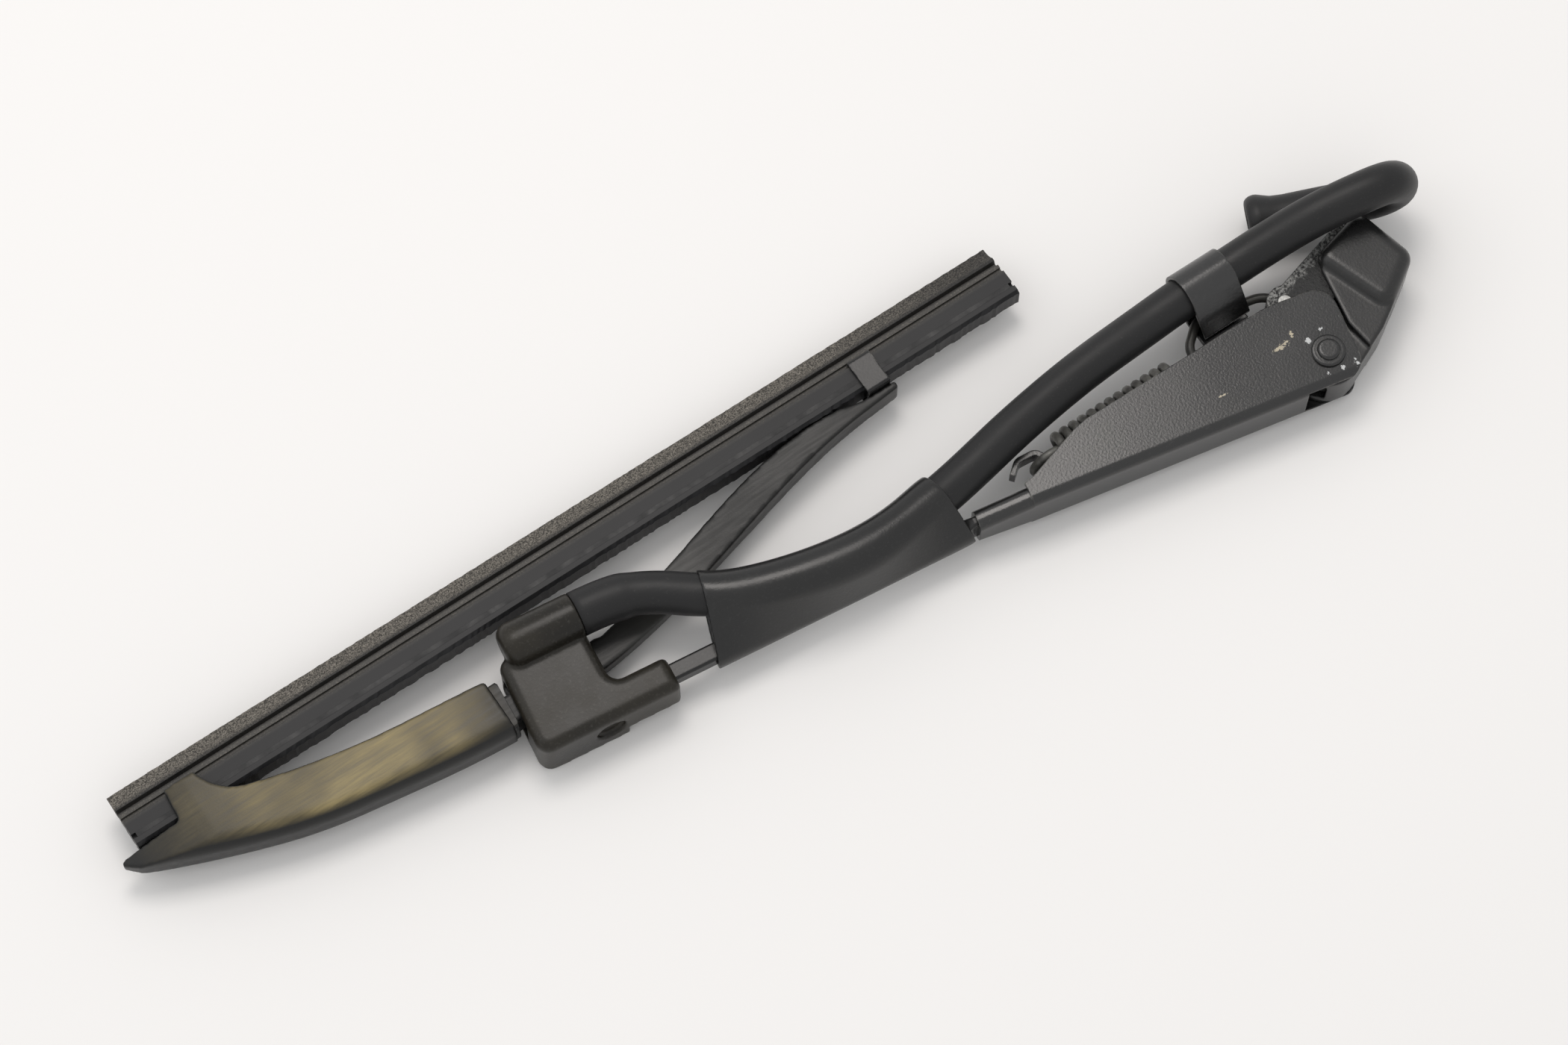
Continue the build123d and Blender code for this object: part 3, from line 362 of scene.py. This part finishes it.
def bow_plastic():
    """Weathered black plastic; the bow's broad, upward face has an olive, brushed tone that is partly
    weathering and partly a painted sheen.
    """
    resin = Nodes("bow_plastic", DULL_SPECULAR)
    vector, axes = resin.local(blade_origin, BLADE_TILT)
    brushed = resin.mapping((0.12, 1.5, 1.0), turn=-38.0, vector=vector)
    strokes = resin.noise(0.9, detail=4.0, rough=0.6, vector=brushed)
    broad = resin.noise(0.055, detail=2.0, rough=0.5, vector=vector)
    grain = resin.noise(2.6, rough=0.6, vector=vector)
    geometry = resin.add("ShaderNodeNewGeometry")
    normal = resin.split(geometry.outputs["Normal"])
    # Only faces that look up get the olive tone: partly the plastic's weathering, partly a painted
    # sheen where the light falls.
    facing = resin.ramp(normal["Z"], (0.75, 1.0))
    on_bow = resin.times(
        resin.ramp(axes["X"], (-90.0, -56.0)),
        resin.ramp(axes["X"], (-11.0, -24.0)),
    )
    olive_and_painted_sheen = resin.times(facing, on_bow)
    olive_and_painted_sheen = resin.times(olive_and_painted_sheen, resin.ramp(broad, (0.30, 0.62), (0.25, 1.0)))
    olive_and_painted_sheen = resin.times(olive_and_painted_sheen, resin.ramp(strokes, NOISE_RANGE, (0.45, 1.0)))
    bloom = resin.times(
        resin.ramp(axes["X"], (8.0, 22.0)),
        resin.ramp(axes["X"], (44.0, 30.0)),
    )
    bloom = resin.times(bloom, resin.ramp(broad, NOISE_RANGE, (0.1, 0.6)))
    colour = resin.mix(grain, (0.008, 0.008, 0.0078), (0.014, 0.0138, 0.013))
    colour = resin.mix(bloom, colour, (0.085, 0.082, 0.076))
    # The olive colour: weathered plastic with a painted sheen on it.
    colour = resin.mix(olive_and_painted_sheen, colour, (0.27, 0.215, 0.098))
    resin.bump(resin.math("ADD", grain, strokes), depth=0.04, strength=0.4)
    return resin.finish(colour, resin.ramp(strokes, NOISE_RANGE, (0.32, 0.44)))


def head_casting():
    """Black painted casting with a bare, gritty seat on its glass side."""
    metal = Nodes("head_casting")
    vector, axes = metal.local(RIVET, HEAD_FOLD)
    grit = metal.noise(1.6, detail=5.0, rough=0.65, vector=vector)
    scale = metal.noise(0.45, detail=4.0, rough=0.6, vector=vector)
    ragged = metal.math("ADD", axes["Y"], metal.ramp(scale, NOISE_RANGE, (-1.2, 1.2)))
    bare = metal.ramp(ragged, (14.6, 15.6))
    paint = metal.mix(scale, grey(0.008), grey(0.014))
    rust = metal.mix(metal.ramp(grit, (0.42, 0.60)), grey(0.035), (0.30, 0.30, 0.29))
    metal.link(metal.times(bare, 0.7), metal.shader.inputs["Metallic"])
    metal.bump(grit, depth=0.4, strength=0.6)
    return metal.finish(metal.mix(bare, paint, rust), metal.ramp(bare, WHOLE, (0.42, 0.55)))


# Mesh helpers, in millimetres
SMOOTH_FACTOR = 0.5


def mesh_piece(name, points, faces, material, smooth=True):
    """A mesh object from points and faces."""
    data = bpy.data.meshes.new(name)
    data.from_pydata([metres(point) for point in points], [], faces)
    data.validate()
    bm = bmesh.new()
    bm.from_mesh(data)
    bmesh.ops.recalc_face_normals(bm, faces=bm.faces)
    bm.to_mesh(data)
    bm.free()
    if smooth:
        data.polygons.foreach_set("use_smooth", [True] * len(data.polygons))
    data.materials.append(material)
    piece = bpy.data.objects.new(name, data)
    scene.collection.objects.link(piece)
    return piece


def ring(centre, side, up, radius, count):
    """Points on a circle."""
    points = []
    for step in range(count):
        angle = 2 * math.pi * step / count
        points.append(centre + radius * (math.cos(angle) * side + math.sin(angle) * up))
    return points


def lofted(rings):
    """Points and faces of rings joined one to the next, with both ends closed."""
    count = len(rings[0])
    points = [point for loop in rings for point in loop]
    faces = []
    for row in range(len(rings) - 1):
        for column in range(count):
            following = (column + 1) % count
            faces.append((
                row * count + column,
                row * count + following,
                (row + 1) * count + following,
                (row + 1) * count + column,
            ))
    last = (len(rings) - 1) * count
    faces.append(tuple(range(count)))
    faces.append(tuple(last + column for column in range(count)))
    return points, faces


def frames_along(path):
    """A side and an up direction at each point of a path, carried along without twist."""
    side = None
    result = []
    for index in range(len(path)):
        before = path[max(index - 1, 0)]
        after = path[min(index + 1, len(path) - 1)]
        ahead = (after - before).normalized()
        if side is None:
            side = ahead.cross(UP).normalized()
        side = (side - ahead * side.dot(ahead)).normalized()
        result.append((side, ahead.cross(side).normalized()))
    return result


def softened(node, name, body, material, voxel, rounds, keep=0.5):
    """A moulded or cast piece: the CAD node's form with its edges rounded off."""
    piece = bpy.data.objects.new(name, nodes[node].data.copy())
    scene.collection.objects.link(piece)
    remesh = piece.modifiers.new("remesh", "REMESH")
    remesh.mode = "VOXEL"
    remesh.voxel_size = MM * voxel
    smooth = piece.modifiers.new("smooth", "SMOOTH")
    smooth.factor = SMOOTH_FACTOR
    smooth.iterations = rounds
    thin = piece.modifiers.new("thin", "DECIMATE")
    thin.ratio = keep
    bpy.context.view_layer.update()
    evaluated = piece.evaluated_get(bpy.context.evaluated_depsgraph_get())
    shape = bpy.data.meshes.new_from_object(evaluated)
    piece.modifiers.clear()
    piece.data = shape
    shape.materials.clear()
    shape.materials.append(material)
    shape.polygons.foreach_set("use_smooth", [True] * len(shape.polygons))
    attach(piece, body)
    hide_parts(node)


def shade(name, material):
    """Gives a CAD node its material."""
    node = nodes[name]
    if not node.material_slots:
        node.data.materials.append(material)
    for slot in node.material_slots:
        slot.material = material


# Washer hose: the route's points, measured from the rivet
HOSE_ROUTE = [
    (-165.4, 7.9, 5.4),
    (-157.0, 8.6, 5.4),
    (-148.6, 6.1, 5.5),
    (-140.4, 1.5, 5.8),
    (-130.5, -1.9, 6.4),
    (-117.5, -3.3, 6.7),
    (-104.0, -2.5, 6.2),
    (-93.0, 0.6, 5.2),
    (-87.0, 2.6, 4.6),
    (-79.0, 5.6, 4.4),
    (-66.0, 10.9, 4.7),
    (-49.0, 16.8, 4.3),
    (-33.0, 20.8, 4.3),
    (-24.0, 22.9, 5.0),
    (-10.5, 25.5, 5.5),
    (-0.5, 26.6, 8.6),
    (9.0, 27.0, 12.0),
    (17.5, 27.0, 13.8),
    (25.3, 27.2, 13.9),
    (29.3, 27.8, 9.9),
    (29.3, 28.7, 4.1),
    (25.3, 30.1, 0.2),
    (14.4, 32.4, 0.6),
    (-0.6, 36.0, -1.8),
]
ROUTE_STEPS = 10
POINT_SPACING = 0.1
HOSE_SIDES = 28
HOSE_RADIUS = 4.5
HOSE_BORE = 2.3
BORE_DEPTH = 11.0
FLARE_RADIUS = 5.7
FLARE_BORE = 3.6
FLARE_LENGTH = 7.0
FLARE_RISE = 4.9
RIM_ROUND = 2.2
SPIGOT_SWELL = 0.35
SPIGOT_LENGTH = 9.5
SPIGOT_TAPER = 3.0
# Rings of the free end's rim and bore: the distance inside the end, and the radius
HOSE_MOUTH = [
    (RIM_ROUND, FLARE_RADIUS),
    (1.3, FLARE_RADIUS - 0.15),
    (0.6, FLARE_RADIUS - 0.5),
    (0.15, FLARE_RADIUS - 1.0),
    (0.0, FLARE_BORE + 0.6),
    (0.1, FLARE_BORE + 0.2),
    (0.4, FLARE_BORE),
    (FLARE_LENGTH, FLARE_BORE),
    (FLARE_LENGTH + 0.1, HOSE_BORE),
    (BORE_DEPTH, HOSE_BORE),
]

route_data = bpy.data.curves.new("hose_route", "CURVE")
route_data.dimensions = "3D"
route_data.resolution_u = ROUTE_STEPS
route = route_data.splines.new("NURBS")
route.points.add(len(HOSE_ROUTE) - 1)
for control, place in zip(route.points, HOSE_ROUTE):
    control.co = (*(MM * (RIVET + Vector(place))), 1.0)
route.order_u = 3
route.use_endpoint_u = True
route_object = bpy.data.objects.new("hose_route", route_data)
scene.collection.objects.link(route_object)
bpy.context.view_layer.update()
route_mesh = bpy.data.meshes.new_from_object(route_object)
hose_path = [route_mesh.vertices[0].co / MM]
for vertex in route_mesh.vertices:
    if (vertex.co / MM - hose_path[-1]).length > POINT_SPACING:
        hose_path.append(vertex.co / MM)
bpy.data.meshes.remove(route_mesh)
bpy.data.objects.remove(route_object)
bpy.data.curves.remove(route_data)

hose_travel = [0.0]
for before, after in zip(hose_path, hose_path[1:]):
    hose_travel.append(hose_travel[-1] + (after - before).length)
hose_length = hose_travel[-1]


def ease(value):
    """A smooth step from 0 to 1."""
    value = min(max(value, 0.0), 1.0)
    return value * value * (3 - 2 * value)


def hose_radius(travel):
    """The outer radius at a length along the hose."""
    swell = SPIGOT_SWELL * (1 - ease((travel - SPIGOT_LENGTH) / SPIGOT_TAPER))
    flare = (FLARE_RADIUS - HOSE_RADIUS) * ease((travel - hose_length + FLARE_LENGTH) / FLARE_RISE)
    return HOSE_RADIUS + swell + flare


hose_frames = frames_along(hose_path)
hose_rings = [
    ring(point, side, up, hose_radius(travel), HOSE_SIDES)
    for point, (side, up), travel in zip(hose_path, hose_frames, hose_travel)
    if travel < hose_length - RIM_ROUND
]
hose_end = hose_path[-1]
hose_out = (hose_path[-1] - hose_path[-2]).normalized()
for inset, radius in HOSE_MOUTH:
    hose_rings.append(ring(hose_end - inset * hose_out, *hose_frames[-1], radius, HOSE_SIDES))
hose = mesh_piece("hose", *lofted(hose_rings), hose_rubber())
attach(hose, "arm")
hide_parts("washer_hose")

# Tension spring: round wire, close-wound, with a loop at each end
WIRE_RADIUS = 1.05
WIRE_SIDES = 10
COIL_RADIUS = 3.55
COIL_PITCH = 2.3
COIL_TURNS = 13
STEPS_PER_TURN = 22
FIRST_LOOP = 0.933
COIL_START = FIRST_LOOP + COIL_RADIUS
COIL_END = COIL_START + COIL_TURNS * COIL_PITCH
SECOND_LOOP = COIL_END + COIL_RADIUS
spring_x = (HOOK_PIVOT - SPRING_ANCHOR).normalized()
spring_y = UP.cross(spring_x)


def on_spring(along, across, height):
    """A place measured from the spring's anchor, along its axis."""
    return SPRING_ANCHOR + along * spring_x + across * spring_y + height * UP


def end_loop(middle, first, last):
    """A turn of wire in the upright plane, from one angle to another."""
    line = []
    for step in range(STEPS_PER_TURN + 1):
        angle = first + (last - first) * step / STEPS_PER_TURN
        along = middle + COIL_RADIUS * math.cos(angle)
        line.append(on_spring(along, 0.0, COIL_RADIUS * math.sin(angle)))
    return line


def coil():
    """The close-wound turns."""
    line = []
    for step in range(COIL_TURNS * STEPS_PER_TURN + 1):
        turn = step / STEPS_PER_TURN
        angle = 2 * math.pi * turn
        along = COIL_START + COIL_PITCH * turn
        line.append(on_spring(along, COIL_RADIUS * math.sin(angle), COIL_RADIUS * math.cos(angle)))
    return line


spring_points = []
spring_faces = []
for wire in (
    end_loop(FIRST_LOOP, 0.0, 2 * math.pi),
    coil(),
    end_loop(SECOND_LOOP, math.pi, -math.pi),
):
    points, faces = lofted([
        ring(point, side, up, WIRE_RADIUS, WIRE_SIDES)
        for point, (side, up) in zip(wire, frames_along(wire))
    ])
    shift = len(spring_points)
    spring_points.extend(points)
    spring_faces.extend(tuple(shift + corner for corner in face) for face in faces)
spring_steel = steel("spring_steel", (0.050, 0.049, 0.045), (0.17, 0.168, 0.155), (0.55, 0.37), 0.35)
coil_spring = mesh_piece("coil_spring", spring_points, spring_faces, spring_steel)
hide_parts("tension_spring")
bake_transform(coil_spring)

# Wiper rubber: depths from its back and half widths, with a worn back and lip
RUBBER_LEFT = -88.5
RUBBER_RIGHT = 127.0
RUBBER_BACK = 17.0
RUBBER_PROFILE = [
    (0.0, 2.3),
    (0.8, 3.0),
    (1.88, 3.0),
    (1.88, 1.7),
    (2.92, 1.7),
    (2.92, 3.0),
    (5.9, 3.0),
    (6.0, 2.9),
    (6.0, 1.8),
    (7.0, 1.8),
    (7.1, 2.4),
    (7.9, 2.4),
    (8.2, 0.9),
    (8.8, 0.9),
    (9.2, 2.1),
    (9.8, 2.2),
    (10.4, 1.45),
    (11.0, 0.95),
    (11.9, 0.6),
    (12.8, 0.45),
    (13.2, 0.4),
]
RUBBER_STEP = 0.75
LIP_EDGE = 12.5
BACK_WEAR = (-0.22, 0.05)
LIP_WEAR = (-0.12, 0.0)
WEAR_SEED = 7

jitter = random.Random(WEAR_SEED)
rubber_length = RUBBER_RIGHT - RUBBER_LEFT
rubber_steps = round(rubber_length / RUBBER_STEP)
rubber_rings = []
for step in range(rubber_steps + 1):
    along = RUBBER_LEFT + rubber_length * step / rubber_steps
    back_wear = jitter.uniform(*BACK_WEAR)
    lip_wear = jitter.uniform(*LIP_WEAR)
    sides = []
    for depth, half in RUBBER_PROFILE:
        if depth == 0.0:
            depth -= back_wear
        if depth > LIP_EDGE:
            depth += lip_wear
        sides.append((depth, half))
    outline = sides + [(depth, -half) for depth, half in reversed(sides)]
    rubber_rings.append([on_blade(along, RUBBER_BACK + depth, half) for depth, half in outline])
blade_strip = mesh_piece("blade_rubber", *lofted(rubber_rings), blade_rubber(RUBBER_BACK), smooth=False)
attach(blade_strip, "blade")
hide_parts("wiper_rubber")

# Painted pieces, with the channel's chips measured from the rivet
BEIGE = (0.42, 0.37, 0.27)
PALE = (0.52, 0.53, 0.53)
CHIP_DEPTH = 1.0
CHANNEL_CHIPS = [
    (-8.9, 4.6, 1.3, 0.42, BEIGE),
    (-7.6, 5.2, 0.9, 0.35, BEIGE),
    (-5.4, 6.4, 0.42, 0.65, BEIGE),
    (0.6, 5.1, 0.5, 0.3, PALE),
    (-2.8, 3.9, 0.55, 0.65, PALE),
    (1.3, -4.5, 0.3, 0.55, PALE),
    (-2.1, -4.5, 0.3, 0.3, PALE),
    (-24.6, -0.4, 1.1, 0.18, BEIGE),
    (4.4, -4.6, 0.35, 0.8, PALE),
]
channel_chips = [
    ((RIVET.x + x, RIVET.y + y, CHANNEL_TOP), (half_x, half_y, CHIP_DEPTH), colour)
    for x, y, half_x, half_y, colour in CHANNEL_CHIPS
]
channel_paint = black_paint("channel_paint", channel_chips, wear=0.8, tone=0.012, rough=(0.17, 0.23))
shade("arm_channel", channel_paint)
shade("arm_rod", black_paint("rod_paint", specular=DULL_SPECULAR))
shade("hinge_rivet", black_paint("rivet_paint", wear=0.9))
shade("end_claw", black_paint("claw_paint", wear=1.0, specular=DULL_SPECULAR))

# Moulded and cast pieces
clip_sheet = plastic(
    "clip_sheet",
    dark=grey(0.007),
    light=grey(0.011),
    worn=(0.12, 0.115, 0.11),
    wear=0.35,
    rough=(0.20, 0.30),
    specular=0.8,
)
cover_plastic = plastic(
    "cover_plastic",
    dark=grey(0.009),
    light=grey(0.015),
    worn=(0.10, 0.096, 0.09),
    wear=0.2,
    rough=(0.24, 0.34),
)
sleeve_film = plastic(
    "sleeve_film",
    dark=grey(0.007),
    light=grey(0.010),
    worn=grey(0.08),
    wear=0.1,
    rough=(0.24, 0.32),
)
adapter_plastic = plastic(
    "adapter_plastic",
    dark=(0.009, 0.0082, 0.0070),
    light=(0.022, 0.0190, 0.0135),
    worn=(0.20, 0.19, 0.17),
    wear=0.45,
    rough=(0.26, 0.38),
    specular=0.3,
)
bow_resin = bow_plastic()
shade("hose_clip", clip_sheet)
softened("nut_cover", "cover_shell", "cover", cover_plastic, voxel=0.30, rounds=9)
softened("binding_sleeve", "sleeve", "arm", sleeve_film, voxel=0.24, rounds=10)
softened("blade_adapter", "adapter_block", "arm", adapter_plastic, voxel=0.30, rounds=8)
softened("blade_yoke", "yoke_bow", "blade", bow_resin, voxel=0.40, rounds=7, keep=0.35)
softened("arm_head", "head_block", "head", head_casting(), voxel=0.28, rounds=5)

# Steel pieces
bare_steel = steel("bare_steel", (0.20, 0.20, 0.19), (0.42, 0.42, 0.41), (0.50, 0.32), 0.9)
strip_steel = steel("strip_steel", (0.0095, 0.0095, 0.010), (0.0125, 0.0125, 0.013), (0.62, 0.44), 0.05)
hook_steel = steel("hook_steel", (0.022, 0.022, 0.021), (0.060, 0.058, 0.052), (0.52, 0.34), 0.3)
shade("hook_pin", bare_steel)
shade("blade_pin", bare_steel)
shade("backing_strips", strip_steel)
shade("spring_hook", hook_steel)

# Recessed end of the bow, set back to leave room for the blade's swing
BOW_END_OUTLINE = [
    (-13.6, -4.5),
    (-11.9, -4.5),
    (-11.6, -4.1),
    (-10.7, 5.5),
    (-11.0, 6.1),
    (-13.6, 6.1),
]
BOW_END_MIDDLE = Vector((-12.2, 0.8))
# Heights, and the outline's size there as a share
BOW_END_LEVELS = [
    (-4.2, 0.90),
    (-3.8, 1.0),
    (3.0, 1.0),
    (3.4, 0.97),
    (3.6, 0.90),
]

bow_end_rings = []
for level, share in BOW_END_LEVELS:
    corners = [BOW_END_MIDDLE + share * (Vector(corner) - BOW_END_MIDDLE) for corner in BOW_END_OUTLINE]
    bow_end_rings.append([on_blade(corner.x, corner.y, level) for corner in corners])
bow_end = mesh_piece("bow_end", *lofted(bow_end_rings), bow_resin, smooth=False)
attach(bow_end, "blade")

# Floor, in metres
FLOOR_LEVEL = cad_box[0][2]
FLOOR_REACH = 3.0
FLOOR_COLOUR = (0.87, 0.86, 0.85, 1.0)
FLOOR_ROUGH = 0.6
FLOOR_SPECULAR = 0.2

floor_data = bpy.data.meshes.new("floor")
floor_data.from_pydata(
    [
        (-FLOOR_REACH, -FLOOR_REACH, FLOOR_LEVEL),
        (FLOOR_REACH, -FLOOR_REACH, FLOOR_LEVEL),
        (FLOOR_REACH, FLOOR_REACH, FLOOR_LEVEL),
        (-FLOOR_REACH, FLOOR_REACH, FLOOR_LEVEL),
    ],
    [],
    [(0, 1, 2, 3)],
)
floor = bpy.data.objects.new("floor", floor_data)
scene.collection.objects.link(floor)
paper = Nodes("floor_paper", FLOOR_SPECULAR)
paper.shader.inputs["Base Color"].default_value = FLOOR_COLOUR
paper.shader.inputs["Roughness"].default_value = FLOOR_ROUGH
floor_data.materials.append(paper.material)

# Sky and lamps, in metres and watts
WHITE = (1.0, 1.0, 1.0)
WARM = (1.0, 0.95, 0.91)
SKY_STRENGTH = 0.75

world = bpy.data.worlds.new("world")
scene.world = world
world.use_nodes = True
sky = world.node_tree.nodes["Background"]
sky.inputs["Color"].default_value = (*WHITE, 1.0)
sky.inputs["Strength"].default_value = SKY_STRENGTH


def from_view(right, up, back):
    """An offset given along the photograph's right, up and viewing directions."""
    return right * camera_right + up * camera_up + back * camera_back


def lamp(name, offset, width, height, power, colour):
    """A soft lamp aimed at the middle of the arm."""
    data = bpy.data.lights.new(name, "AREA")
    data.shape = "RECTANGLE"
    data.size = width
    data.size_y = height
    data.energy = power
    data.color = colour
    light = bpy.data.objects.new(name, data)
    scene.collection.objects.link(light)
    light.location = AIM + offset
    light.rotation_euler = (-offset).to_track_quat("-Z", "Y").to_euler()


lamp("key", from_view(-0.85, 0.45, 0.95), width=1.2, height=1.2, power=2.2, colour=WHITE)
lamp("sheen", from_view(-0.10, 0.76, 0.84), width=0.5, height=0.42, power=3.6, colour=WARM)
